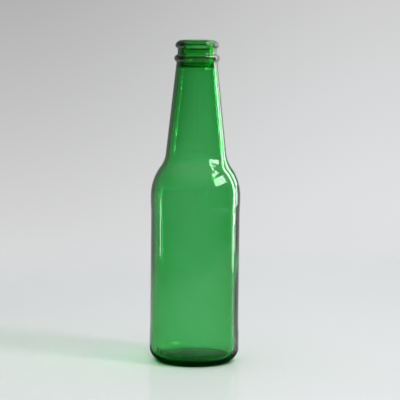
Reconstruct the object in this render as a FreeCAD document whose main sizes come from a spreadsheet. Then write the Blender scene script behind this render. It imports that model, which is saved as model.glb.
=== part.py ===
import FreeCAD, Part
import math
import os

import Sketcher

# A 25 cl crown-cap beer bottle: one piece of blown glass, empty and open at the mouth.
#
# Frame: millimetres, +Z up the bottle's axis, origin in the middle of the bearing ring
# that the bottle stands on. The front faces -Y.
#
# The outline is a chain of arcs and straight runs, revolved about Z:
#   bearing ring, heel, lower contact band, recessed label panel, upper contact band,
#   shoulder, tapered neck, and the crown finish (bead, groove, locking ring, lip).
# The inside is a second outline, tied to the first by the wall thicknesses.

Vector = FreeCAD.Vector

# Driving dimensions. Lengths in millimetres, angles in degrees, radii from the axis.
SIZES = {
    # the whole
    "bottleHeight": 196.5,
    "bodyRadius": 27.5,
    # contact bands and the label panel between them
    "heelRound": 8.2,
    "panelRecess": 0.3,
    "recessBlend": 4.5,
    "lowerBandTop": 17.5,
    "upperBandFoot": 97.5,
    # shoulder and neck
    "shoulderStart": 101.85,
    "shoulderRound": 29.9,
    "neckFootRound": 15.2,
    "neckTaper": 6.25,
    # crown finish, heights measured down from the top
    "ringRadius": 13.3,
    "ringDrop": 3.6,
    "ringTopRound": 2.4,
    "ringUnderRound": 1.4,
    "grooveDepth": 1.55,
    "grooveDrop": 6.75,
    "grooveRound": 0.8,
    "beadOverhang": 0.55,
    "beadDrop": 11.0,
    "beadRound": 2.2,
    "beadProud": 1.65,
    "beadFootRound": 0.8,
    "sealSetback": 3.7,
    # inside
    "boreRadius": 8.2,
    "boreEdgeRound": 0.9,
    "boreDepth": 6.0,
    "boreBlend": 6.0,
    "neckWall": 2.6,
    "bodyWall": 2.0,
    "floorCentre": 5.6,
    "floorEdge": 4.2,
    "innerHeelRound": 8.0,
    # underside
    "bearingWidth": 3.1,
    "pushUp": 2.8,
    # knurling on the outer edge of the bearing ring
    "knurlCount": 60,
    "knurlWidth": 3.0,
    "knurlDepth": 0.3,
    "knurlStart": 3.0,
    "knurlSpan": 17.0,
    # raised bars just above the heel: a row of them, and one apart
    "barProud": 0.3,
    "barRoot": 0.5,
    "barWidth": 2.7,
    "barFoot": 7.2,
    "barLength": 2.6,
    "barCount": 3,
    "barRowSpan": 12.8,
    "barRowAzimuth": 217.6,
    "loneBarAzimuth": 197.0,
}


class Bound:
    """A size worked out from cells: its value now, and the expression that keeps it tied."""

    def __init__(self, value, expression):
        self.value = value
        self.expression = expression

    def __add__(self, other):
        return Bound(self.value + other.value, "(%s + %s)" % (self.expression, other.expression))

    def __sub__(self, other):
        return Bound(self.value - other.value, "(%s - %s)" % (self.expression, other.expression))


def cell(name):
    return Bound(SIZES[name], "Sizes." + name)


def constant(number):
    return Bound(number, str(number))


def build_sheet(doc):
    """Writes every driving dimension into the sheet as a plain number with an alias."""
    sheet = doc.addObject("Spreadsheet::Sheet", "Sizes")
    for row, (name, value) in enumerate(SIZES.items(), start=1):
        sheet.set("A%d" % row, name)
        sheet.set("B%d" % row, str(value))
        sheet.setAlias("B%d" % row, name)
    doc.recompute()


# ---------------------------------------------------------------- sketch helpers

QUARTER_TURN = constant(90)
WHOLE_TURN = constant(360)
START, END, CENTRE = 1, 2, 3
ORIGIN, AXIS_V = -1, -2


def origin_feature(body, role):
    return next(item for item in body.Origin.OriginFeatures if item.Role == role)


def new_sketch(body, name, azimuth=None):
    """A sketch on the half plane through the axis: x is the radius, y the height.

    An azimuth turns the half plane about the axis."""
    sketch = body.newObject("Sketcher::SketchObject", name)
    sketch.AttachmentSupport = [(origin_feature(body, "XZ_Plane"), "")]
    sketch.MapMode = "FlatFace"
    if azimuth is not None:
        sketch.AttachmentOffset = FreeCAD.Placement(Vector(), Vector(0, 1, 0), azimuth.value)
        sketch.setExpression("AttachmentOffset.Rotation.Angle", azimuth.expression)
    return sketch


def point(radius, height):
    return Vector(radius, height, 0)


def polar(centre, radius, angle):
    return centre + point(radius * math.cos(angle), radius * math.sin(angle))


def add_line(sketch, start, end):
    return sketch.addGeometry(Part.LineSegment(start, end), False)


def add_arc(sketch, centre, radius, low, high):
    """An arc that runs anticlockwise from the angle low to the angle high, in radians."""
    circle = Part.Circle(centre, Vector(0, 0, 1), radius)
    return sketch.addGeometry(Part.ArcOfCircle(circle, low, high), False)


def bind(sketch, constraint, size):
    """Adds a constraint and ties its value to the cells."""
    index = sketch.addConstraint(constraint)
    sketch.setExpression("Constraints[%d]" % index, size.expression)


def set_radius(sketch, arc, size):
    bind(sketch, Sketcher.Constraint("Radius", arc, size.value), size)


def lean(sketch, line, angle):
    """Holds a line at an angle in degrees, anticlockwise from the sketch's x direction."""
    bind(sketch, Sketcher.Constraint("Angle", line, math.radians(angle.value)), angle)


def pin(sketch, item, end, radius=None, height=None):
    """Holds a point at a radius and a height; None leaves that direction free."""
    for kind, size in (("DistanceX", radius), ("DistanceY", height)):
        if size is not None:
            bind(sketch, Sketcher.Constraint(kind, ORIGIN, START, item, end, size.value), size)


def on_line(sketch, item, end, line):
    sketch.addConstraint(Sketcher.Constraint("PointOnObject", item, end, line))


def join(sketch, first, first_end, second, second_end, smooth=False):
    kind = "Tangent" if smooth else "Coincident"
    sketch.addConstraint(Sketcher.Constraint(kind, first, first_end, second, second_end))


def upright(sketch, item):
    sketch.addConstraint(Sketcher.Constraint("Vertical", item))


def level(sketch, item):
    sketch.addConstraint(Sketcher.Constraint("Horizontal", item))


def run_normal(first, first_round, second, second_round):
    """Angle of the outward normal of the straight run that touches two circles.

    The run climbs from first to second. A round is positive where the glass bulges out and
    negative where it is hollow; zero is a plain corner."""
    gap = second - first
    return math.atan2(gap.y, gap.x) - math.acos((first_round - second_round) / gap.Length)


def blend_centre(line_point, taper, blend, centre, radius, above):
    """Centre of the hollow arc of radius blend that touches a tapered line and a bulge.

    It lies on the line shifted out by blend, at radius + blend from the bulge's centre."""
    normal = point(math.cos(taper), math.sin(taper))
    along = point(-math.sin(taper), math.cos(taper))
    base = line_point + normal * blend - centre
    half = base.dot(along)
    root = math.sqrt(half ** 2 - base.dot(base) + (radius + blend) ** 2)
    return centre + base + along * (-half + (root if above else -root))


def angle_to(start, end):
    return math.atan2(end.y - start.y, end.x - start.x)


def require_closed(doc, sketch):
    doc.recompute()
    if sketch.solve() != 0 or sketch.Shape.isNull() or not sketch.Shape.Wires[0].isClosed():
        raise RuntimeError(sketch.Name + " does not solve to a closed outline")


# ---------------------------------------------------------------- shared places

def finish_places():
    """The heights and radii of the crown finish, all hung from the bottle's top."""
    top = cell("bottleHeight")
    ring = cell("ringRadius")
    bead = ring + cell("beadOverhang")
    return {
        "top": top,
        "ring": ring,
        "ring_height": top - cell("ringDrop"),
        "groove": ring - cell("grooveDepth"),
        "groove_height": top - cell("grooveDrop"),
        "bead": bead,
        "bead_height": top - cell("beadDrop"),
        "neck": bead - cell("beadProud"),
        "seal": ring - cell("sealSetback"),
    }


def draw_shoulder(sketch, wall, wall_line, bulge, hollow, neck, neck_height):
    """Bulging shoulder arc, hollow neck-foot arc and the tapered neck line above them.

    wall_line is the upright run that ends at the shoulder. The neck line is carried by a
    point at the radius neck and the height neck_height. Returns the neck line."""
    start = cell("shoulderStart")
    taper = math.radians(cell("neckTaper").value)
    bulge_centre = point(wall.value - bulge.value, start.value)
    carrier = point(neck.value, neck_height.value)
    hollow_centre = blend_centre(carrier, taper, hollow.value, bulge_centre, bulge.value, True)
    turn = angle_to(bulge_centre, hollow_centre)

    shoulder = add_arc(sketch, bulge_centre, bulge.value, 0.0, turn)
    foot = add_arc(sketch, hollow_centre, hollow.value, math.pi + taper, math.pi + turn)
    neck_line = add_line(sketch, polar(hollow_centre, hollow.value, math.pi + taper), carrier)
    mark = sketch.addGeometry(Part.Point(carrier), True)

    join(sketch, wall_line, END, shoulder, START, smooth=True)
    join(sketch, shoulder, END, foot, END, smooth=True)
    join(sketch, foot, START, neck_line, START, smooth=True)
    pin(sketch, shoulder, START, height=start)
    set_radius(sketch, shoulder, bulge)
    set_radius(sketch, foot, hollow)
    pin(sketch, mark, START, radius=neck, height=neck_height)
    on_line(sketch, mark, START, neck_line)
    lean(sketch, neck_line, cell("neckTaper") + QUARTER_TURN)
    return neck_line


# ---------------------------------------------------------------- outside

def draw_outside(sketch):
    """The whole outer outline, from the middle of the underside to the middle of the top."""
    wall = cell("bodyRadius")
    heel_round = cell("heelRound")
    panel = wall - cell("panelRecess")
    band_top = cell("lowerBandTop")
    band_foot = cell("upperBandFoot")
    start = cell("shoulderStart")
    places = finish_places()

    # underside and heel
    heel_centre = point(wall.value - heel_round.value, heel_round.value)
    base = add_line(sketch, point(0, 0), point(heel_centre.x, 0))
    heel = add_arc(sketch, heel_centre, heel_round.value, -math.pi / 2, 0.0)
    join(sketch, base, START, ORIGIN, START)
    level(sketch, base)
    join(sketch, base, END, heel, START, smooth=True)
    set_radius(sketch, heel, heel_round)

    # lower band, recessed panel, upper band: corners joined by straight runs
    corners = [
        (wall, band_top),
        (panel, band_top + cell("recessBlend")),
        (panel, band_foot - cell("recessBlend")),
        (wall, band_foot),
        (wall, start),
    ]
    below, below_end = heel, END
    low = point(wall.value, heel_round.value)
    for number, (radius, height) in enumerate(corners):
        high = point(radius.value, height.value)
        run = add_line(sketch, low, high)
        join(sketch, below, below_end, run, START, smooth=(number == 0))
        pin(sketch, run, END, radius=radius, height=None if height is start else height)
        if number == 0:
            upright(sketch, run)
        below, below_end, low = run, END, high
    neck_line = draw_shoulder(sketch, wall, below, cell("shoulderRound"), cell("neckFootRound"),
                              places["neck"], places["bead_height"])

    # crown finish: centres of its arcs, from the bead up
    bead_round = cell("beadRound")
    groove_round = cell("grooveRound")
    under_round = cell("ringUnderRound")
    top_round = cell("ringTopRound")
    foot_round = cell("beadFootRound")
    bead_place = (places["bead"] - bead_round, places["bead_height"])
    groove_place = (places["groove"] + groove_round, places["groove_height"])
    under_place = (places["ring"] - under_round, places["ring_height"])
    top_place = (places["ring"] - top_round, places["ring_height"])
    bead_centre, groove_centre, under_centre, top_centre = (
        point(radius.value, height.value)
        for radius, height in (bead_place, groove_place, under_place, top_place))
    seal_edge = point(places["seal"].value, places["top"].value)
    carrier = point(places["neck"].value, places["bead_height"].value)
    taper = math.radians(cell("neckTaper").value)
    foot_centre = blend_centre(carrier, taper, foot_round.value, bead_centre, bead_round.value, False)

    # outward normals of the three straight runs of the finish
    rise = run_normal(bead_centre, bead_round.value, groove_centre, -groove_round.value)
    flare = run_normal(groove_centre, -groove_round.value, under_centre, under_round.value)
    slope = run_normal(top_centre, top_round.value, seal_edge, 0.0)

    touch = angle_to(bead_centre, foot_centre)
    foot = add_arc(sketch, foot_centre, foot_round.value, touch + math.pi, math.pi + taper)
    bead = add_arc(sketch, bead_centre, bead_round.value, touch, rise)
    bead_run = add_line(sketch, polar(bead_centre, bead_round.value, rise),
                        polar(groove_centre, groove_round.value, rise + math.pi))
    groove = add_arc(sketch, groove_centre, groove_round.value, flare + math.pi, rise + math.pi)
    ring_run = add_line(sketch, polar(groove_centre, groove_round.value, flare + math.pi),
                        polar(under_centre, under_round.value, flare))
    under = add_arc(sketch, under_centre, under_round.value, flare, 0.0)
    crest = add_arc(sketch, top_centre, top_round.value, 0.0, slope)
    lip = add_line(sketch, polar(top_centre, top_round.value, slope), seal_edge)
    top = add_line(sketch, seal_edge, point(0, places["top"].value))
    middle = add_line(sketch, point(0, places["top"].value), point(0, 0))

    join(sketch, neck_line, END, foot, END, smooth=True)
    join(sketch, foot, START, bead, START, smooth=True)
    join(sketch, bead, END, bead_run, START, smooth=True)
    join(sketch, bead_run, END, groove, END, smooth=True)
    join(sketch, groove, START, ring_run, START, smooth=True)
    join(sketch, ring_run, END, under, START, smooth=True)
    join(sketch, under, END, crest, START, smooth=True)
    join(sketch, crest, END, lip, START, smooth=True)
    join(sketch, lip, END, top, START)
    join(sketch, top, END, middle, START)
    join(sketch, middle, END, ORIGIN, START)
    upright(sketch, middle)
    level(sketch, top)
    pin(sketch, top, START, radius=places["seal"], height=places["top"])
    for arc, size, place in ((bead, bead_round, bead_place), (groove, groove_round, groove_place),
                             (under, under_round, under_place)):
        set_radius(sketch, arc, size)
        pin(sketch, arc, CENTRE, radius=place[0], height=place[1])
    set_radius(sketch, foot, foot_round)
    pin(sketch, under, END, height=places["ring_height"])
    set_radius(sketch, crest, top_round)


# ---------------------------------------------------------------- inside

def draw_inside(sketch):
    """The hollow: floor, inner heel, wall, shoulder, neck and bore, closed above the mouth."""
    places = finish_places()
    wall = cell("bodyRadius") - cell("panelRecess") - cell("bodyWall")
    floor_centre = cell("floorCentre")
    floor_edge = cell("floorEdge")
    heel_round = cell("innerHeelRound")
    start = cell("shoulderStart")
    # the inner shoulder keeps the outer arcs' centres, so its wall is even
    bulge = cell("shoulderRound") - cell("panelRecess") - cell("bodyWall")
    hollow = cell("neckFootRound") + cell("neckWall")
    bore = cell("boreRadius")
    bore_height = places["top"] - cell("boreDepth")
    neck = places["neck"] - cell("neckWall")

    # floor: a low cone from the middle out to the inner heel, an arc that touches both
    edge = point(wall.value, floor_edge.value)
    crown = point(0, floor_centre.value)
    fall = angle_to(crown, edge)
    half_turn = (math.pi / 2 - fall) / 2
    reach = heel_round.value * math.tan(half_turn)
    heel_start = edge - point(math.cos(fall), math.sin(fall)) * reach
    heel_centre = point(wall.value - heel_round.value, edge.y + reach)
    floor = add_line(sketch, crown, heel_start)
    heel = add_arc(sketch, heel_centre, heel_round.value, fall - math.pi / 2, 0.0)
    side = add_line(sketch, point(wall.value, heel_centre.y), point(wall.value, start.value))
    corner = sketch.addGeometry(Part.Point(edge), True)
    pin(sketch, floor, START, height=floor_centre)
    on_line(sketch, floor, START, AXIS_V)
    pin(sketch, corner, START, radius=wall, height=floor_edge)
    on_line(sketch, corner, START, floor)
    on_line(sketch, corner, START, side)
    join(sketch, floor, END, heel, START, smooth=True)
    join(sketch, heel, END, side, START, smooth=True)
    set_radius(sketch, heel, heel_round)
    upright(sketch, side)
    neck_line = draw_shoulder(sketch, wall, side, bulge, hollow, neck, places["bead_height"])

    # a cone narrows the neck to the straight bore, whose mouth edge is rounded
    round_edge = cell("boreEdgeRound")
    neck_height = bore_height - cell("boreBlend")
    taper = math.tan(math.radians(cell("neckTaper").value))
    neck_end = point(neck.value + (places["bead_height"] - neck_height).value * taper,
                     neck_height.value)
    bore_foot = point(bore.value, bore_height.value)
    throat = point(bore.value, places["top"].value - round_edge.value)
    flare_centre = throat + point(round_edge.value, 0)
    flare_end = flare_centre + point(0, round_edge.value)
    cone = add_line(sketch, neck_end, bore_foot)
    bore_line = add_line(sketch, bore_foot, throat)
    flare = add_arc(sketch, flare_centre, round_edge.value, math.pi / 2, math.pi)
    lid = add_line(sketch, flare_end, point(0, flare_end.y))
    middle = add_line(sketch, point(0, flare_end.y), crown)
    join(sketch, neck_line, END, cone, START)
    join(sketch, cone, END, bore_line, START)
    join(sketch, bore_line, END, flare, END, smooth=True)
    join(sketch, flare, START, lid, START)
    join(sketch, lid, END, middle, START)
    join(sketch, middle, END, floor, START)
    upright(sketch, bore_line)
    upright(sketch, middle)
    level(sketch, lid)
    pin(sketch, cone, START, height=neck_height)
    pin(sketch, cone, END, radius=bore, height=bore_height)
    set_radius(sketch, flare, round_edge)
    pin(sketch, flare, START, radius=bore + round_edge, height=places["top"])


def draw_push_up(sketch):
    """The shallow dome under the base, an arc that is level at the axis."""
    rim = cell("bodyRadius") - cell("heelRound") - cell("bearingWidth")
    rise = cell("pushUp")
    dome_radius = (rim.value ** 2 + rise.value ** 2) / (2 * rise.value)
    centre = point(0, rise.value - dome_radius)
    ground = add_line(sketch, point(0, 0), point(rim.value, 0))
    dome = add_arc(sketch, centre, dome_radius, angle_to(centre, point(rim.value, 0)), math.pi / 2)
    middle = add_line(sketch, point(0, rise.value), point(0, 0))
    join(sketch, ground, START, ORIGIN, START)
    join(sketch, ground, END, dome, START)
    join(sketch, dome, END, middle, START)
    join(sketch, middle, END, ORIGIN, START)
    level(sketch, ground)
    upright(sketch, middle)
    on_line(sketch, dome, CENTRE, AXIS_V)
    pin(sketch, ground, END, radius=rim)
    pin(sketch, dome, END, height=rise)


def draw_bar(sketch):
    """A rectangle that stands on the wall and reaches a little way into it."""
    wall = cell("bodyRadius")
    foot = cell("barFoot")
    near, far = wall - cell("barRoot"), wall + cell("barProud")
    head = foot + cell("barLength")
    corners = [(near, foot), (far, foot), (far, head), (near, head)]
    lines = []
    for (radius, height), (next_radius, next_height) in zip(corners, corners[1:] + corners[:1]):
        lines.append(add_line(sketch, point(radius.value, height.value),
                              point(next_radius.value, next_height.value)))
        pin(sketch, lines[-1], START, radius=radius, height=height)
    for line, following in zip(lines, lines[1:] + lines[:1]):
        join(sketch, line, END, following, START)


def draw_heel_patch(sketch, outer, inner, low, high):
    """A thin band that follows the heel's arc between two radii.

    low and high are angles up from the heel arc's lowest point."""
    heel_round = cell("heelRound")
    place = (cell("bodyRadius") - heel_round, heel_round)
    centre = point(place[0].value, place[1].value)
    low_angle = math.radians(low.value) - math.pi / 2
    high_angle = math.radians(high.value) - math.pi / 2
    outside = add_arc(sketch, centre, outer.value, low_angle, high_angle)
    inside = add_arc(sketch, centre, inner.value, low_angle, high_angle)
    foot = add_line(sketch, polar(centre, inner.value, low_angle), polar(centre, outer.value, low_angle))
    head = add_line(sketch, polar(centre, outer.value, high_angle), polar(centre, inner.value, high_angle))
    join(sketch, foot, START, inside, START)
    join(sketch, foot, END, outside, START)
    join(sketch, head, START, outside, END)
    join(sketch, head, END, inside, END)
    join(sketch, inside, CENTRE, outside, CENTRE)
    pin(sketch, outside, CENTRE, radius=place[0], height=place[1])
    set_radius(sketch, outside, outer)
    set_radius(sketch, inside, inner)
    # the foot line runs outwards and the head line back inwards
    for line, angle in ((foot, low - QUARTER_TURN), (head, high + QUARTER_TURN)):
        on_line(sketch, outside, CENTRE, line)
        lean(sketch, line, angle)


# ---------------------------------------------------------------- features

def turn_sketch(body, kind, name, sketch, angle=WHOLE_TURN):
    """Revolves a sketch about the axis, evenly to both sides of its plane."""
    feature = body.newObject("PartDesign::" + kind, name)
    feature.Profile = sketch
    feature.ReferenceAxis = (sketch, ["V_Axis"])
    feature.Angle = angle.value
    feature.setExpression("Angle", angle.expression)
    feature.Midplane = True
    return feature


def repeat_round(body, name, feature, count, span):
    """Repeats a feature about the axis: span is the whole turn, or first copy to last."""
    pattern = body.newObject("PartDesign::PolarPattern", name)
    pattern.Originals = [feature]
    pattern.Axis = (origin_feature(body, "Z_Axis"), [""])
    pattern.Angle = span.value
    pattern.setExpression("Angle", span.expression)
    pattern.Occurrences = int(count.value)
    pattern.setExpression("Occurrences", count.expression)
    return pattern


class Glass:
    """The body as it is worked on: each step has to add glass or take glass away."""

    def __init__(self, doc, body):
        self.doc = doc
        self.body = body
        self.volume = 0.0

    def outline(self, name, draw, *sizes, azimuth=None):
        sketch = new_sketch(self.body, name, azimuth)
        draw(sketch, *sizes)
        require_closed(self.doc, sketch)
        return sketch

    def finish_step(self, feature, adds):
        self.body.Tip = feature
        self.doc.recompute()
        before, self.volume = self.volume, feature.Shape.Volume
        if (self.volume > before) != adds or self.volume == before:
            raise RuntimeError(feature.Name + " has not changed the glass as it should")
        return feature

    def add(self, name, sketch, angle=WHOLE_TURN):
        return self.finish_step(turn_sketch(self.body, "Revolution", name, sketch, angle), True)

    def cut(self, name, sketch, angle=WHOLE_TURN):
        return self.finish_step(turn_sketch(self.body, "Groove", name, sketch, angle), False)

    def repeat(self, name, feature, count, span, adds):
        return self.finish_step(repeat_round(self.body, name, feature, count, span), adds)


def build_bottle(doc):
    body = doc.addObject("PartDesign::Body", "Bottle")
    body.Label = "bottle"
    glass = Glass(doc, body)
    glass.add("OutsideForm", glass.outline("OutsideOutline", draw_outside))
    glass.cut("Hollow", glass.outline("InsideOutline", draw_inside))
    glass.cut("PushUp", glass.outline("PushUpOutline", draw_push_up))

    first = glass.outline("BarOutline", draw_bar, azimuth=cell("barRowAzimuth"))
    first_bar = glass.add("Bar", first, cell("barWidth"))
    glass.repeat("BarRow", first_bar, cell("barCount"), cell("barRowSpan"), adds=True)
    lone = glass.outline("LoneBarOutline", draw_bar, azimuth=cell("loneBarAzimuth"))
    glass.add("LoneBar", lone, cell("barWidth"))

    heel = cell("heelRound")
    start = cell("knurlStart")
    notch = (heel + cell("knurlDepth"), heel - cell("knurlDepth"), start, start + cell("knurlSpan"))
    knurl = glass.outline("KnurlOutline", draw_heel_patch, *notch)
    first_notch = glass.cut("KnurlNotch", knurl, cell("knurlWidth"))
    glass.repeat("Knurl", first_notch, cell("knurlCount"), WHOLE_TURN, adds=False)
    return body


def check_document(doc, bodies):
    for item in doc.Objects:
        if "Invalid" in item.State or "Error" in item.State:
            raise RuntimeError("%s failed: %s" % (item.Name, item.State))
    for body in bodies:
        if body.Shape.isNull() or not body.Shape.isValid() or len(body.Shape.Solids) != 1:
            raise RuntimeError(body.Label + " is not one valid solid")


def main():
    doc = FreeCAD.newDocument("BeerBottle")
    build_sheet(doc)
    bottle = build_bottle(doc)
    doc.recompute()
    check_document(doc, [bottle])
    os.makedirs("parts", exist_ok=True)
    bottle.Shape.exportStep("parts/%s.step" % bottle.Label)
    box = bottle.Shape.optimalBoundingBox()
    print("size %.3f x %.3f x %.3f mm" % (box.XLength, box.YLength, box.ZLength))
    print("glass volume %.3f cm3" % (bottle.Shape.Volume / 1000.0))


main()
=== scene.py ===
"""Looks of the green glass bottle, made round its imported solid."""

import math

import bpy
import numpy as np
from mathutils import Matrix, Vector


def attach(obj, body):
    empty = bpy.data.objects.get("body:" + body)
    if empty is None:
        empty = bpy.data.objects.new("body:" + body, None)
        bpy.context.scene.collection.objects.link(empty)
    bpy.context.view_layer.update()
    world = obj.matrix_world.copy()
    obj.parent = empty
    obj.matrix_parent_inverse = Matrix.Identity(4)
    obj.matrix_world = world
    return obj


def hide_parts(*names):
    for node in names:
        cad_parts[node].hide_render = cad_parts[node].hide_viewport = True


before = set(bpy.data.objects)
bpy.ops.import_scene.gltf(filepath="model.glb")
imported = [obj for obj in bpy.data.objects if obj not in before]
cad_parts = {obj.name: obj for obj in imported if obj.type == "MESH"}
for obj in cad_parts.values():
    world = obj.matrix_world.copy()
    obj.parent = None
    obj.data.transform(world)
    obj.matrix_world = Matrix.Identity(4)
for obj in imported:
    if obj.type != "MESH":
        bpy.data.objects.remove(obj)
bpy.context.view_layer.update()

MM = 0.001

# ---------------------------------------------------------------- sizes, in millimetres and degrees

COLUMNS = 400
ROWS = 247
FINE_STEPS = 60
FINE_PIECE = 0.2

# how long a run, or how much of a turn, earns one more row of the grid
ROW_LENGTH = 3.4
ROW_TURN = 9.0

# how much closer the rows lie at the heel bars and the notches
DETAIL_ROWS = 3.0
BAR_MARGIN = 0.8
NOTCH_ROWS_FROM = 15.5
NOTCH_ROWS_TOP = 1.6

# how much closer the columns lie at a place, and over what angle
SEAM_COLUMNS = (3.0, 1.2)
BAR_COLUMNS = (1.6, 2.0)

BODY_RADIUS = 27.5
PANEL_RADIUS = 27.2
RECESS_ROUND = 12.0
SHOULDER_CENTRE = (-2.4, 101.85)
SHOULDER_ROUND = 29.9
NECK_TAPER = 6.25
NECK_TOP = (12.2, 185.5)
NECK_FOOT_ROUND = 15.2
BEAD_CENTRE = (11.65, 185.5)
BEAD_ROUND = 2.2
BEAD_FOOT_ROUND = 0.8

# rounds of the half section: radius from the axis, height and round
PUSH_UP = (0.0, -45.464, -48.264)
BEARING_EDGE = (16.6, 0.6, 0.6)
GROOVE_AND_RING = (
    (12.85, 188.55, -1.0),
    (12.65, 191.0, -0.8),
    (12.0, 193.2, 1.3),
    (9.6, 192.8, 3.7),
    (9.1, 195.6, 0.9),
)

# heights of the two rounds at each end of the sunk panel
PANEL_FOOT = (17.1, 22.4)
PANEL_HEAD = (92.6, 97.9)

INNER_SHOULDER = 27.95
INNER_PANEL = 0.35
INNER_FOOT_ROUND = 17.6
INNER_TAPER = 6.75
INNER_NECK_TOP = (9.7, 185.5)
BORE_RADIUS = 8.2
BORE_END = 182.5
BORE_END_ROUND = 3.0
STEP_END = 179.5
STEP_ROUND = 1.2
INNER_HEEL = (19.5, 8.9, -6.05)
FLOOR_CROWN = (0.0, -85.2, 90.0)

FRONT = 270.0
BACK = 90.0
SEAM_PROUD = 0.13
SEAM_WIDTH = 0.45

# heights between which the seams rise above the heel and die out under the bead
SEAM_RISE = (3.0, 9.0)
SEAM_END = (181.0, 183.0)

# ranges of the facing's cosine over which the outer and the inner skin begin
OUTER_FACING = (0.05, 0.3)
INNER_FACING = (0.05, 0.5)

NOTCHES = 60
NOTCH_DEPTH = 0.3
NOTCH_START = 3.0
NOTCH_END = 20.0
NOTCH_RISE = (3.0, 2.0)
NOTCH_FALL = 6.0
NOTCH_SIDES = (0.25, 0.85)
NOTCH_FACING = -0.2
HEEL_CENTRE = (19.3, 8.2)
HEEL_ROUND = 8.2

BAR_PLACES = (197.0, 217.6, 224.0, 230.4)
BAR_PROUD = 0.5
BAR_WIDTH = 3.4
BAR_FOOT = 7.2
BAR_TOP = 9.8
BAR_SLOPE = (0.5, 0.1)

# the thick place in the wall: its way round, its spread round the axis, its top and its size
# its top fades over a height, and wanders up and down round the axis
THICK_PLACE = (0.0, 26.0, 66.0, 0.6)
THICK_FADE = 22.0
THICK_WANDER = 6.0
THICK_LOBES = 3.0

# heights over which the inner skin stands in behind the panel, and at which the waves die out
INNER_PANEL_FOOT = (17.0, 23.0)
INNER_PANEL_HEAD = (92.0, 98.0)
WAVES_END = (170.0, 184.0)
WAVES_SEED = 11

# lobes round the wall, wavelength up it and size
WALL_WAVES = ((1, 160.0, 0.10), (2, 110.0, 0.06), (3, 70.0, 0.03), (1, 50.0, 0.03))


# ---------------------------------------------------------------- profile

def touching_centre(line_point, lean, blend, centre, radius, side):
    """Centre of a round that touches a leaning line and a circle.

    It lies a distance blend outside the line, and a distance of blend plus the
    circle's radius from the circle's centre. The second distance is a quadratic
    along the line, and side (+1 or -1) picks the upper or the lower root.
    """
    normal = np.array([math.cos(lean), math.sin(lean)])
    along = np.array([-math.sin(lean), math.cos(lean)])
    base = np.array(line_point) + blend * normal - np.array(centre)
    half = base @ along
    root = math.sqrt(half**2 - base @ base + (radius + blend) ** 2)
    return np.array(centre) + base + along * (side * root - half)


def bottle_rounds():
    """The circles that the bottle's half section follows, in order.

    Each row is radius from the axis, height and round. A bulge of the glass has
    a positive round and a hollow a negative one. The order is under the base,
    up the outside, over the lip, down the inside and in to the floor's centre.
    """
    lean = math.radians(NECK_TAPER)
    neck_foot = touching_centre(NECK_TOP, lean, NECK_FOOT_ROUND, SHOULDER_CENTRE, SHOULDER_ROUND, 1)
    bead_foot = touching_centre(NECK_TOP, lean, BEAD_FOOT_ROUND, BEAD_CENTRE, BEAD_ROUND, -1)
    inner_lean = math.radians(INNER_TAPER)
    inner_foot = touching_centre(
        INNER_NECK_TOP, inner_lean, INNER_FOOT_ROUND, SHOULDER_CENTRE, INNER_SHOULDER, 1
    )
    step_radius = INNER_NECK_TOP[0] + (INNER_NECK_TOP[1] - STEP_END) * math.tan(inner_lean)
    step = (
        step_radius - STEP_ROUND * math.cos(inner_lean),
        STEP_END - STEP_ROUND * math.sin(inner_lean),
        -STEP_ROUND,
    )
    under = [PUSH_UP, BEARING_EDGE, (*HEEL_CENTRE, HEEL_ROUND)]
    panel = [
        (BODY_RADIUS - RECESS_ROUND, PANEL_FOOT[0], RECESS_ROUND),
        (PANEL_RADIUS + RECESS_ROUND, PANEL_FOOT[1], -RECESS_ROUND),
        (PANEL_RADIUS + RECESS_ROUND, PANEL_HEAD[0], -RECESS_ROUND),
        (BODY_RADIUS - RECESS_ROUND, PANEL_HEAD[1], RECESS_ROUND),
    ]
    neck = [
        (*SHOULDER_CENTRE, SHOULDER_ROUND),
        (*neck_foot, -NECK_FOOT_ROUND),
        (*bead_foot, -BEAD_FOOT_ROUND),
    ]
    finish = [(*BEAD_CENTRE, BEAD_ROUND), *GROOVE_AND_RING]
    inside = [
        (BORE_RADIUS + BORE_END_ROUND, BORE_END, BORE_END_ROUND),
        step,
        (*inner_foot, INNER_FOOT_ROUND),
        (*SHOULDER_CENTRE, -INNER_SHOULDER),
        INNER_HEEL,
        FLOOR_CROWN,
    ]
    return np.array(under + panel + neck + finish + inside)


def half_section(rounds):
    """Points on the half section, and the way the glass faces at each.

    Two rounds that follow each other are joined by the straight run that
    touches both. The run faces at the angle of the line between their centres,
    less the angle whose cosine is the difference of the rounds over that line's
    length. Each arc turns evenly from one run's facing to the next one's.
    """
    centre = rounds[:, :2]
    bulge = rounds[:, 2]
    gap = np.diff(centre, axis=0)
    ratio = -np.diff(bulge) / np.hypot(gap[:, 0], gap[:, 1])
    run = np.arctan2(gap[:, 1], gap[:, 0]) - np.arccos(np.clip(ratio, -1.0, 1.0))
    facing = np.unwrap(np.concatenate([[-math.pi / 2], run, [math.pi / 2]]))
    share = np.linspace(0.0, 1.0, FINE_STEPS)
    angle = facing[:-1, None] + np.diff(facing)[:, None] * share
    reach = bulge[:, None] * np.ones_like(share)
    radial = centre[:, 0, None] + reach * np.cos(angle)
    height = centre[:, 1, None] + reach * np.sin(angle)
    return radial.ravel(), height.ravel(), angle.ravel()


def spread(places, effort, count):
    """Evenly spaced values of a rising effort, read back as places."""
    wanted = np.linspace(effort[0], effort[-1], count)
    return [np.interp(wanted, effort, p) for p in places]


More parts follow.
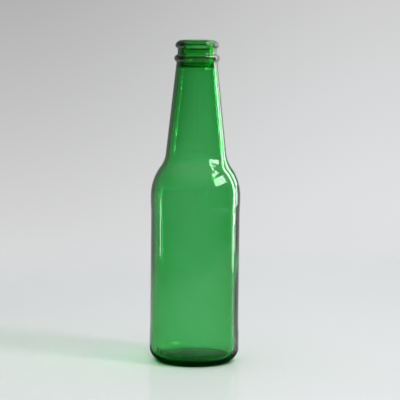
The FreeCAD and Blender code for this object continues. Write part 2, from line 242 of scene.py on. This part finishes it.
def section_rows():
    """The rows of the grid: closer together where the section turns or is detailed."""
    radial, height, angle = half_section(bottle_rounds())
    step = np.hypot(np.diff(radial), np.diff(height))
    steps_in = np.maximum(1, np.ceil(step / FINE_PIECE)).astype(int)
    share = np.concatenate([np.arange(n) / n for n in steps_in])
    first = np.repeat(np.arange(len(step)), steps_in)
    radial = radial[first] * (1 - share) + radial[first + 1] * share
    height = height[first] * (1 - share) + height[first + 1] * share
    angle = angle[first] * (1 - share) + angle[first + 1] * share
    step = np.hypot(np.diff(radial), np.diff(height))
    turn = np.abs(np.diff(angle))
    outside = np.cos(angle[:-1]) > 0.3
    bar_zone = outside & (height[:-1] > BAR_FOOT - BAR_MARGIN) & (height[:-1] < BAR_TOP + BAR_MARGIN)
    notch_zone = (height[:-1] < NOTCH_ROWS_TOP) & (radial[:-1] > NOTCH_ROWS_FROM)
    effort = step / ROW_LENGTH + np.degrees(turn) / ROW_TURN
    effort = effort + step * (DETAIL_ROWS * bar_zone + DETAIL_ROWS * notch_zone)
    effort = np.concatenate([[0.0], np.cumsum(effort)])
    return spread([radial, height, angle], effort, ROWS)


def column_angles():
    """The columns of the grid: closer together at the seams and the heel bars."""
    fine = np.linspace(0.0, 360.0, 7201)
    density = np.ones_like(fine)
    for place in (FRONT, BACK):
        density += SEAM_COLUMNS[0] * np.exp(-(((fine - place) / SEAM_COLUMNS[1]) ** 2))
    for place in BAR_PLACES:
        density += BAR_COLUMNS[0] * np.exp(-(((fine - place) / BAR_COLUMNS[1]) ** 4))
    effort = np.concatenate([[0.0], np.cumsum((density[1:] + density[:-1]) / 2)])
    return spread([fine], effort, COLUMNS + 1)[0][:-1]


# ---------------------------------------------------------------- what is pressed, raised or uneven

def soft_step(value, low, high):
    """0 below low, 1 above high, and three squares less two cubes between them."""
    t = np.clip((value - low) / (high - low), 0.0, 1.0)
    return t * t * (3.0 - 2.0 * t)


def away(azimuth, place):
    """Angle from a place round the axis, from -180 to 180 degrees."""
    return (azimuth - place + 180.0) % 360.0 - 180.0


def raised(azimuth, radial, height, facing):
    """How far the outer skin stands out, in millimetres.

    The two mould seams are narrow rounded ridges. The heel bars are short
    ridges, each a raised cosine across its width. The bearing edge is cut by evenly spaced notches.
    """
    outer = soft_step(np.cos(facing), *OUTER_FACING)
    arc = np.radians(np.abs(np.stack([away(azimuth, FRONT), away(azimuth, BACK)]))).min(axis=0) * radial
    seam = SEAM_PROUD * np.exp(-((arc / (SEAM_WIDTH / 2)) ** 2))
    seam = seam * outer * soft_step(height, *SEAM_RISE) * (1 - soft_step(height, *SEAM_END))
    tall = soft_step(height, BAR_FOOT - BAR_SLOPE[0], BAR_FOOT + BAR_SLOPE[1])
    tall = tall * (1 - soft_step(height, BAR_TOP - BAR_SLOPE[1], BAR_TOP + BAR_SLOPE[0]))
    bars = np.zeros_like(seam)
    for place in BAR_PLACES:
        side = np.clip(np.abs(away(azimuth, place)) / (BAR_WIDTH / 2), 0.0, 1.0)
        bars = bars + 0.5 + 0.5 * np.cos(math.pi * side)
    bars = BAR_PROUD * bars * tall * outer
    below = np.degrees(np.arctan2(radial - HEEL_CENTRE[0], HEEL_CENTRE[1] - height))
    low = soft_step(below, NOTCH_START - NOTCH_RISE[0], NOTCH_START + NOTCH_RISE[1])
    low = low * (1 - soft_step(below, NOTCH_END - NOTCH_FALL, NOTCH_END)) * (height < HEEL_CENTRE[1])
    low = low * (np.sin(facing) < NOTCH_FACING)
    wave = 0.5 - 0.5 * np.cos(np.radians(azimuth * NOTCHES))
    notch = NOTCH_DEPTH * low * soft_step(wave, *NOTCH_SIDES)
    return seam + bars - notch


def uneven(azimuth, height, facing):
    """How far the inner skin moves off its true place, in millimetres.

    The push-up faces the axis too, but its facing is below nought, so it is left
    as it is. The inner skin stands in behind the sunk panel, so the wall keeps its
    thickness. A few slow waves run round the wall and up it, from a fixed seed. They die out
    below the mouth, where the glass was pressed to size. Low on one side the
    wall is thicker, by a bell curve round the axis that fades out up the wall.
    """
    inner = soft_step(-np.cos(facing), *INNER_FACING) * (facing > 0.0)
    rng = np.random.default_rng(WAVES_SEED)
    total = np.zeros_like(height)
    turn = np.radians(azimuth)
    for lobes, wave, size in WALL_WAVES:
        phase = rng.uniform(0.0, 2 * math.pi, 2)
        round_the_wall = np.cos(lobes * turn + phase[0])
        total = total + size * round_the_wall * np.cos(2 * math.pi * height / wave + phase[1])
    place, spread_angle, thick_top, size = THICK_PLACE
    side = np.exp(-((away(azimuth, place) / spread_angle) ** 2))
    drift = thick_top + THICK_WANDER * np.sin(np.radians(THICK_LOBES * azimuth))
    total = total + size * side * (1 - soft_step(height, drift - THICK_FADE, drift))
    panel = soft_step(height, *INNER_PANEL_FOOT) * (1 - soft_step(height, *INNER_PANEL_HEAD))
    return inner * (INNER_PANEL * panel + total * (1 - soft_step(height, *WAVES_END)))


def glass_skin():
    """The whole surface of the glass as one closed grid.

    One parameter is the way round the axis and the other is the way along the
    half section. A point is the section's point, moved along the way the glass
    faces there by what is raised or uneven, and turned round the axis. The two
    ends lie on the axis, and each is a single point that a fan of triangles
    joins to its row.
    """
    radial, height, facing = section_rows()
    azimuth = column_angles()
    a, r = np.meshgrid(azimuth, radial[1:-1])
    z = np.meshgrid(azimuth, height[1:-1])[1]
    f = np.meshgrid(azimuth, facing[1:-1])[1]
    move = raised(a, r, z, f) + uneven(a, z, f)
    r = r + move * np.cos(f)
    z = z + move * np.sin(f)
    turn = np.radians(a)
    grid = np.stack([r * np.cos(turn), r * np.sin(turn), z], axis=-1).reshape(-1, 3)
    ends = np.array([[0.0, 0.0, height[0]], [0.0, 0.0, height[-1]]])
    points = np.concatenate([grid, ends]) * MM
    rows = ROWS - 2
    index = np.arange(rows * COLUMNS).reshape(rows, COLUMNS)
    after = np.roll(index, -1, axis=1)
    quads = np.stack([index[:-1], after[:-1], after[1:], index[1:]], axis=-1).reshape(-1, 4)
    low_end = rows * COLUMNS
    foot = np.stack([np.full(COLUMNS, low_end), after[0], index[0]], axis=-1)
    top = np.stack([np.full(COLUMNS, low_end + 1), index[-1], after[-1]], axis=-1)
    mesh = bpy.data.meshes.new("bottle_glass")
    mesh.from_pydata(points.tolist(), [], quads.tolist() + foot.tolist() + top.tolist())
    mesh.polygons.foreach_set("use_smooth", np.ones(len(mesh.polygons), dtype=bool))
    mesh.update()
    piece = bpy.data.objects.new("bottle_glass", mesh)
    bpy.context.scene.collection.objects.link(piece)
    return piece


# ---------------------------------------------------------------- finishes

GLASS_IOR = 1.52
GLASS_TINT = (0.02, 0.76, 0.25, 1.0)
GLASS_DENSITY = 667.0

# noise that makes patches rough, the part of it that counts, and the roughness there
SMEAR_SCALE = 45.0
SMEAR_NOISE = (0.45, 0.75)
SMEAR_ROUGHNESS = (0.0, 0.035)

# noise that ripples the skin, and its depth in metres
RIPPLE_SCALE = 160.0
RIPPLE_STRENGTH = 0.35
RIPPLE_DEPTH = 0.00004


def node(tree, kind, **values):
    """Adds a node and sets its properties. A name that starts with in_ sets that input."""
    made = tree.nodes.new(kind)
    for name, value in values.items():
        if name.startswith("in_"):
            made.inputs[name[3:].replace("_", " ")].default_value = value
        else:
            setattr(made, name, value)
    return made


def green_glass():
    """Clear green container glass: the colour is soaked up in its depth.

    Slow noise makes patches of the skin slightly rough, and fine noise ripples it.
    """
    material = bpy.data.materials.new("green_glass")
    material.use_nodes = True
    tree = material.node_tree
    tree.nodes.clear()
    out = node(tree, "ShaderNodeOutputMaterial")
    skin = node(tree, "ShaderNodeBsdfPrincipled")
    skin.inputs["Base Color"].default_value = (1.0, 1.0, 1.0, 1.0)
    skin.inputs["IOR"].default_value = GLASS_IOR
    skin.inputs["Transmission Weight"].default_value = 1.0
    place = node(tree, "ShaderNodeTexCoord")
    smear = node(tree, "ShaderNodeTexNoise", in_Scale=SMEAR_SCALE, in_Detail=3.0, in_Roughness=0.6)
    tree.links.new(place.outputs["Object"], smear.inputs["Vector"])
    rough = ranged(tree, smear.outputs["Fac"], *SMEAR_NOISE, *SMEAR_ROUGHNESS)
    tree.links.new(rough, skin.inputs["Roughness"])
    ripple = node(tree, "ShaderNodeTexNoise", in_Scale=RIPPLE_SCALE, in_Detail=2.0)
    tree.links.new(place.outputs["Object"], ripple.inputs["Vector"])
    bump = node(tree, "ShaderNodeBump", in_Strength=RIPPLE_STRENGTH, in_Distance=RIPPLE_DEPTH)
    tree.links.new(ripple.outputs["Fac"], bump.inputs["Height"])
    tree.links.new(bump.outputs["Normal"], skin.inputs["Normal"])
    depth = node(tree, "ShaderNodeVolumeAbsorption")
    depth.inputs["Color"].default_value = GLASS_TINT
    depth.inputs["Density"].default_value = GLASS_DENSITY
    tree.links.new(skin.outputs["BSDF"], out.inputs["Surface"])
    tree.links.new(depth.outputs["Volume"], out.inputs["Volume"])
    return material


# the floor thins out between two distances from its middle
FLOOR_MIDDLE = (0.14, 0.02, 0.0)
FLOOR_FADE = (0.32, 0.60)
FLOOR_REACH = 0.80

# its front edge, which only mirrors see
FLOOR_FRONT = (-0.40, -0.365)

# distances from the axis over which the painted contact shadow ends, as seen and in a mirror
FLOOR_CONTACT_SHADE = (0.0215, 0.0265)
MIRRORED_CONTACT_SHADE = (0.028, 0.070)

# painted shade: the colour of the contact shadow painted on the floor under the foot
CONTACT_SHADE_COLOUR = (0.03, 0.05, 0.04, 1.0)
FLOOR_COLOUR = (0.72, 0.745, 0.75, 1.0)
# painted shade: how much darker the floor is painted where mirrors see it
MIRRORED_PAINTED_SHADE = 0.22
FLOOR_ROUGHNESS = 0.14
FLOOR_IOR = 1.12


def floor_finish():
    """Pale floor, nearly matt, that thins out to the backdrop away from the object.

    It thins out grain by grain, so that no line shows where it ends. A dark
    contact shadow is painted round the axis, under the object's foot. A mirrored view
    is a glossy ray that hasn't been through the glass. It sees a wider painted contact
    shadow, a floor painted dimmer as shade, and a front edge.
    """
    material = bpy.data.materials.new("pale_floor")
    material.use_nodes = True
    tree = material.node_tree
    tree.nodes.clear()
    out = node(tree, "ShaderNodeOutputMaterial")
    place = node(tree, "ShaderNodeTexCoord")
    reach = node(tree, "ShaderNodeVectorMath", operation="DISTANCE")
    reach.inputs[1].default_value = FLOOR_MIDDLE
    tree.links.new(place.outputs["Object"], reach.inputs[0])
    fade = node(tree, "ShaderNodeMapRange", interpolation_type="SMOOTHSTEP")
    fade.inputs["From Min"].default_value = FLOOR_FADE[0]
    fade.inputs["From Max"].default_value = FLOOR_FADE[1]
    tree.links.new(reach.outputs["Value"], fade.inputs["Value"])
    grain = node(tree, "ShaderNodeTexWhiteNoise", noise_dimensions="3D")
    tree.links.new(place.outputs["Object"], grain.inputs["Vector"])
    thinned = node(tree, "ShaderNodeMath", operation="GREATER_THAN")
    tree.links.new(fade.outputs["Result"], thinned.inputs[0])
    tree.links.new(grain.outputs["Value"], thinned.inputs[1])
    round_axis = node(tree, "ShaderNodeVectorMath", operation="LENGTH")
    tree.links.new(place.outputs["Object"], round_axis.inputs[0])
    seen = ranged(tree, round_axis.outputs["Value"], *FLOOR_CONTACT_SHADE)
    mirrored_contact_shade = ranged(tree, round_axis.outputs["Value"], *MIRRORED_CONTACT_SHADE)
    path = node(tree, "ShaderNodeLightPath")
    direct = node(tree, "ShaderNodeMath", operation="LESS_THAN")
    direct.inputs[1].default_value = 0.5
    tree.links.new(path.outputs["Transmission Depth"], direct.inputs[0])
    mirror = product(tree, path.outputs["Is Glossy Ray"], direct.outputs["Value"])
    # painted contact shadow: the seen one, and a wider one where mirrors see it
    contact_shade = node(tree, "ShaderNodeMix", data_type="FLOAT")
    tree.links.new(mirror, contact_shade.inputs["Factor"])
    tree.links.new(seen, contact_shade.inputs[2])
    tree.links.new(mirrored_contact_shade, contact_shade.inputs[3])
    # painted shade: the floor colour darkened towards the painted contact shadow's colour
    shaded_floor_colour = node(tree, "ShaderNodeMix", data_type="RGBA")
    shaded_floor_colour.inputs[6].default_value = CONTACT_SHADE_COLOUR
    shaded_floor_colour.inputs[7].default_value = FLOOR_COLOUR
    # painted shade: in mirrored views the floor and its contact shadow are painted darker
    mirror_shade = node(tree, "ShaderNodeMath", operation="MULTIPLY_ADD")
    mirror_shade.inputs[1].default_value = -MIRRORED_PAINTED_SHADE
    mirror_shade.inputs[2].default_value = 1.0
    tree.links.new(mirror, mirror_shade.inputs[0])
    tree.links.new(product(tree, contact_shade.outputs[0], mirror_shade.outputs["Value"]), shaded_floor_colour.inputs["Factor"])
    matt = node(tree, "ShaderNodeBsdfPrincipled")
    tree.links.new(shaded_floor_colour.outputs[2], matt.inputs["Base Color"])
    matt.inputs["Roughness"].default_value = FLOOR_ROUGHNESS
    matt.inputs["IOR"].default_value = FLOOR_IOR
    part = node(tree, "ShaderNodeSeparateXYZ")
    tree.links.new(place.outputs["Object"], part.inputs[0])
    front = ranged(tree, part.outputs["Y"], *FLOOR_FRONT, 1.0, 0.0)
    edge = product(tree, front, mirror)
    gone = node(tree, "ShaderNodeMath", operation="MAXIMUM")
    tree.links.new(thinned.outputs["Value"], gone.inputs[0])
    tree.links.new(edge, gone.inputs[1])
    clear = node(tree, "ShaderNodeBsdfTransparent")
    mix = node(tree, "ShaderNodeMixShader")
    tree.links.new(gone.outputs["Value"], mix.inputs["Fac"])
    tree.links.new(matt.outputs["BSDF"], mix.inputs[1])
    tree.links.new(clear.outputs["BSDF"], mix.inputs[2])
    tree.links.new(mix.outputs["Shader"], out.inputs["Surface"])
    return material


def floor():
    """A round sheet at height nought, from rings of points about the axis."""
    rings = np.linspace(0.0, FLOOR_REACH, 9)[1:]
    turn = np.linspace(0.0, 2 * math.pi, 97)[:-1]
    reach, way = np.meshgrid(rings, turn, indexing="ij")
    grid = np.stack([reach * np.cos(way), reach * np.sin(way), np.zeros_like(way)], axis=-1).reshape(-1, 3)
    count = len(turn)
    index = np.arange(len(rings) * count).reshape(len(rings), count)
    after = np.roll(index, -1, axis=1)
    quads = np.stack([index[:-1], index[1:], after[1:], after[:-1]], axis=-1).reshape(-1, 4)
    middle = np.stack([np.full(count, len(grid)), index[0], after[0]], axis=-1)
    mesh = bpy.data.meshes.new("floor")
    mesh.from_pydata(grid.tolist() + [[0.0, 0.0, 0.0]], [], quads.tolist() + middle.tolist())
    mesh.update()
    sheet = bpy.data.objects.new("floor", mesh)
    bpy.context.scene.collection.objects.link(sheet)
    mesh.materials.append(floor_finish())
    return sheet


def grey(level):
    """A display level from 0 to 255 as the amount of light that shows it."""
    v = level / 255.0
    return ((v + 0.055) / 1.055) ** 2.4 if v > 0.04045 else v / 12.92


# height of the view (sine) and the display level there, to the left and to the right
LEFT_SKY = (
    (-0.15, (219, 221, 222)),
    (-0.10, (212, 212, 212)),
    (0.00, (193, 193, 193)),
    (0.08, (177, 177, 177)),
    (0.40, (170, 170, 170)),
    (1.00, (250, 250, 250)),
)
RIGHT_SKY = (
    (-0.15, (222, 224, 226)),
    (-0.08, (224, 225, 227)),
    (0.00, (217, 218, 219)),
    (0.08, (208, 208, 208)),
    (0.40, (215, 215, 215)),
    (1.00, (250, 250, 250)),
)
SKY_LOW = -0.5

# the sine of the way across over which the backdrop goes from its left to its right levels
SKY_ACROSS = (-0.18, 0.18)

# parts of a direction over which each share of the room's light changes
ROOM_DEPTH = (-0.05, 0.45)
LEFT_PART = (-0.30, -0.05)
RIGHT_PART = (0.05, 0.30)
OVERHEAD_PART = (0.30, 0.85)
LEVEL_PART = (0.02, 0.08)
INSIDE_LEFT_PART = (-0.12, -0.04)
INSIDE_RIGHT_PART = (0.04, 0.12)
ABOVE_PART = (0.1, 0.95)

# depths between which a path counts as reflected, and as having entered the glass
TURNED_DEPTH = (1.2, 1.8)
ENTERED_DEPTH = (0.2, 0.8)

# strength of the room in reflections: behind the camera, at its two sides and overhead
ROOM_DARK = 0.12
FLANK_LEFT = 0.60
FLANK_RIGHT = 0.70
ROOM_OVERHEAD = 0.75

# strength of its sides for light that turned inside the glass and left it level
INSIDE_LEFT = 0.45
INSIDE_RIGHT = 0.06

# strength for the matt floor, from near the horizon to overhead
ABOVE_LIGHT = (0.2, 1.55)


def sky_ramp(tree, height, sky):
    """A colour ramp over the height of the view."""
    ramp = node(tree, "ShaderNodeValToRGB")
    stops = ramp.color_ramp.elements
    while len(stops) < len(sky):
        stops.new(0.5)
    for stop, (level, colour) in zip(stops, sky):
        stop.position = (level - SKY_LOW) / (1.0 - SKY_LOW)
        stop.color = (*[grey(c) for c in colour], 1.0)
    tree.links.new(height, ramp.inputs["Fac"])
    return ramp.outputs["Color"]


def ranged(tree, value, low, high, first=0.0, last=1.0, smooth=True):
    """A value carried from one range to another, smoothly."""
    made = node(tree, "ShaderNodeMapRange", interpolation_type="SMOOTHSTEP" if smooth else "LINEAR")
    for name, number in (("From Min", low), ("From Max", high), ("To Min", first), ("To Max", last)):
        made.inputs[name].default_value = number
    tree.links.new(value, made.inputs["Value"])
    return made.outputs["Result"]


def product(tree, first, second):
    """One value times another."""
    made = node(tree, "ShaderNodeMath", operation="MULTIPLY")
    tree.links.new(first, made.inputs[0])
    tree.links.new(second, made.inputs[1])
    return made.outputs["Value"]


def backdrop():
    """World light: a soft grey rise towards the floor, lighter to the right.

    Straight views see it as it is. Here a straight path's ray depth is one more
    than its transmission depth, and that of a path with one reflection is two
    more. A reflected path sees a room that is dimmer behind the camera and at the
    sides. The sides are dimmer again for a path
    that turned inside the glass and left it level. The matt floor gets its light
    mostly from above.
    """
    world = bpy.data.worlds.new("studio")
    bpy.context.scene.world = world
    world.use_nodes = True
    tree = world.node_tree
    tree.nodes.clear()
    out = node(tree, "ShaderNodeOutputWorld")
    place = node(tree, "ShaderNodeTexCoord")
    part = node(tree, "ShaderNodeSeparateXYZ")
    tree.links.new(place.outputs["Generated"], part.inputs[0])
    height = ranged(tree, part.outputs["Z"], SKY_LOW, 1.0, smooth=False)
    across = ranged(tree, part.outputs["X"], *SKY_ACROSS)
    sky = node(tree, "ShaderNodeMix", data_type="RGBA")
    tree.links.new(across, sky.inputs["Factor"])
    tree.links.new(sky_ramp(tree, height, LEFT_SKY), sky.inputs[6])
    tree.links.new(sky_ramp(tree, height, RIGHT_SKY), sky.inputs[7])
    depth = ranged(tree, part.outputs["Y"], *ROOM_DEPTH, ROOM_DARK, 1.0)
    left_flank = ranged(tree, part.outputs["X"], *LEFT_PART, FLANK_LEFT, 1.0)
    right_flank = ranged(tree, part.outputs["X"], *RIGHT_PART, 1.0, FLANK_RIGHT)
    room = product(tree, depth, product(tree, left_flank, right_flank))
    over = ranged(tree, part.outputs["Z"], *OVERHEAD_PART, 0.0, ROOM_OVERHEAD)
    light = node(tree, "ShaderNodeMath", operation="MAXIMUM")
    tree.links.new(room, light.inputs[0])
    tree.links.new(over, light.inputs[1])
    path = node(tree, "ShaderNodeLightPath")
    turns = node(tree, "ShaderNodeMath", operation="SUBTRACT")
    tree.links.new(path.outputs["Ray Depth"], turns.inputs[0])
    tree.links.new(path.outputs["Transmission Depth"], turns.inputs[1])
    turned = ranged(tree, turns.outputs["Value"], *TURNED_DEPTH)
    reflected = node(tree, "ShaderNodeMix", data_type="FLOAT")
    reflected.inputs[2].default_value = 1.0
    tree.links.new(turned, reflected.inputs["Factor"])
    tree.links.new(light.outputs["Value"], reflected.inputs[3])
    entered = ranged(tree, path.outputs["Transmission Depth"], *ENTERED_DEPTH)
    level = ranged(tree, part.outputs["Z"], *LEVEL_PART, 1.0, 0.0)
    bounced = product(tree, product(tree, turned, entered), level)
    to_left = ranged(tree, part.outputs["X"], *INSIDE_LEFT_PART, INSIDE_LEFT, 1.0)
    to_right = ranged(tree, part.outputs["X"], *INSIDE_RIGHT_PART, 1.0, INSIDE_RIGHT)
    aside = product(tree, to_left, to_right)
    inside = node(tree, "ShaderNodeMix", data_type="FLOAT")
    inside.inputs[2].default_value = 1.0
    tree.links.new(bounced, inside.inputs["Factor"])
    tree.links.new(aside, inside.inputs[3])
    seen = product(tree, reflected.outputs[0], inside.outputs[0])
    above = ranged(tree, part.outputs["Z"], *ABOVE_PART, *ABOVE_LIGHT)
    strength = node(tree, "ShaderNodeMix", data_type="FLOAT")
    matt = node(tree, "ShaderNodeMath", operation="GREATER_THAN")
    matt.inputs[1].default_value = 0.5
    tree.links.new(path.outputs["Diffuse Depth"], matt.inputs[0])
    tree.links.new(matt.outputs["Value"], strength.inputs["Factor"])
    tree.links.new(seen, strength.inputs[2])
    tree.links.new(above, strength.inputs[3])
    glow = node(tree, "ShaderNodeBackground")
    tree.links.new(sky.outputs[2], glow.inputs["Color"])
    tree.links.new(strength.outputs[0], glow.inputs["Strength"])
    tree.links.new(glow.outputs["Background"], out.inputs["Surface"])


def lamp(name, place, aim, size, power, lights_floor=True):
    """A soft panel of light at a place, turned to face a point.

    Its energy grows with its area, so that power sets how bright its face looks
    whatever its size.
    """
    data = bpy.data.lights.new(name, "AREA")
    data.shape = "RECTANGLE"
    data.size, data.size_y = size
    data.energy = power * math.pi * size[0] * size[1]
    made = bpy.data.objects.new(name, data)
    made.location = place
    made.rotation_euler = (Vector(aim) - Vector(place)).to_track_quat("-Z", "Y").to_euler()
    made.visible_camera = False
    made.visible_diffuse = lights_floor
    bpy.context.scene.collection.objects.link(made)
    return made


AIM = (0.0, 0.0, 0.11)
WINDOW_DISTANCE = 0.42
BLIND_DISTANCE = 1.4

# name, way round from the front, width, foot, top, lean and power
SIDE_WINDOWS = (
    ("low_slit", 117.5, 0.010, 0.045, 0.140, 0.0, 40.0),
    ("low_near", 117.0, 0.055, 0.045, 0.140, 0.0, 4.0),
    ("low_far", 129.0, 0.095, 0.050, 0.140, 0.0, 3.3),
    ("low_edge", 123.0, 0.030, 0.018, 0.050, 0.0, 4.5),
    ("high_slit", 117.5, 0.010, 0.140, 0.800, 0.0, 40.0),
    ("high_near", 117.0, 0.055, 0.140, 0.800, 0.0, 4.0),
    ("high_far", 137.0, 0.095, 0.140, 0.800, 0.0, 3.6),
    ("sill", 114.5, 0.050, 0.000, 0.050, 15.0, 5.5),
    ("left_slit", -99.0, 0.014, 0.014, 0.070, 0.0, 9.0),
)

# name, way round from the front, height as an angle, size, panes, share filled and power
BLINDS = (
    ("low_blind", 76.0, 28.6, (0.95, 0.36), (3, 4), (0.92, 0.62), 15.0),
    ("mid_blind", 74.0, 45.5, (0.52, 0.17), (2, 2), (0.92, 0.62), 13.0),
    ("high_blind", 88.0, 54.0, (0.44, 0.13), (1, 2), (1.0, 0.62), 20.0),
)

KEY_PLACE = (64.0, 1.2, 0.90)
KEY_SIZE = (0.28, 0.50)
KEY_POWER = 17.5


def round_the_table(azimuth, distance, height):
    """A place by its way round from the front, its distance and its height."""
    turn = math.radians(azimuth)
    return Vector((distance * math.sin(turn), -distance * math.cos(turn), height))


def blind(name, azimuth, height, size, panes, filled, power, lit):
    """A blind with light between its slats: a grid of soft panels in one plane.

    It faces the bottle from a way round and a height, both angles. Each panel
    fills the given share of its cell, and lights only the things in one
    collection.
    """
    rise = math.radians(height)
    reach = BLIND_DISTANCE * math.cos(rise)
    middle = round_the_table(azimuth, reach, AIM[2] + BLIND_DISTANCE * math.sin(rise))
    facing = (Vector(AIM) - middle).to_track_quat("-Z", "Y")
    cell = (size[0] / panes[0], size[1] / panes[1])
    for i in range(panes[0]):
        for j in range(panes[1]):
            shift = Vector(((i + 0.5) * cell[0] - size[0] / 2, (j + 0.5) * cell[1] - size[1] / 2, 0.0))
            panel = (cell[0] * filled[0], cell[1] * filled[1])
            made = lamp("%s_%d_%d" % (name, i, j), middle + facing @ shift, AIM, panel, power, False)
            made.rotation_euler = facing.to_euler()
            made.light_linking.receiver_collection = lit


CAMERA_LENS = 113.92
CAMERA_PLACE = (0.002745, -0.7743, 0.1619)
CAMERA_DOWN = 4.634
CAMERA_ROLL = 0.604


def camera():
    """The view from the height of the neck, turned a little down, with a slight roll."""
    data = bpy.data.cameras.new("camera")
    data.lens = CAMERA_LENS
    data.sensor_width = 36.0
    data.clip_start = 0.01
    made = bpy.data.objects.new("camera", data)
    tilt = Matrix.Rotation(math.radians(90.0 - CAMERA_DOWN), 4, "X")
    roll = Matrix.Rotation(math.radians(CAMERA_ROLL), 4, "Z")
    made.matrix_world = Matrix.Translation(CAMERA_PLACE) @ tilt @ roll
    bpy.context.scene.collection.objects.link(made)
    bpy.context.scene.camera = made


# ---------------------------------------------------------------- the scene

glass = glass_skin()
glass.data.materials.append(green_glass())
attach(glass, "root")
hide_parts("bottle")

glass_only = bpy.data.collections.new("glass_only")
glass_only.objects.link(glass)
floor()
backdrop()
for row in BLINDS:
    blind(*row, glass_only)
key = lamp("key", round_the_table(*KEY_PLACE), AIM, KEY_SIZE, KEY_POWER)
key.visible_glossy = False
for name, azimuth, wide, foot, top, lean, power in SIDE_WINDOWS:
    middle = (foot + top) / 2
    place = round_the_table(azimuth, WINDOW_DISTANCE, middle)
    made = lamp(name, place, (0.0, 0.0, middle), (wide, top - foot), power, lights_floor=False)
    made.rotation_euler.rotate_axis("Z", math.radians(lean))
    if name == "left_slit":
        made.visible_transmission = False
        made.light_linking.receiver_collection = glass_only
camera()

scene = bpy.context.scene
scene.view_settings.view_transform = "Standard"
scene.cycles.blur_glossy = 0.0
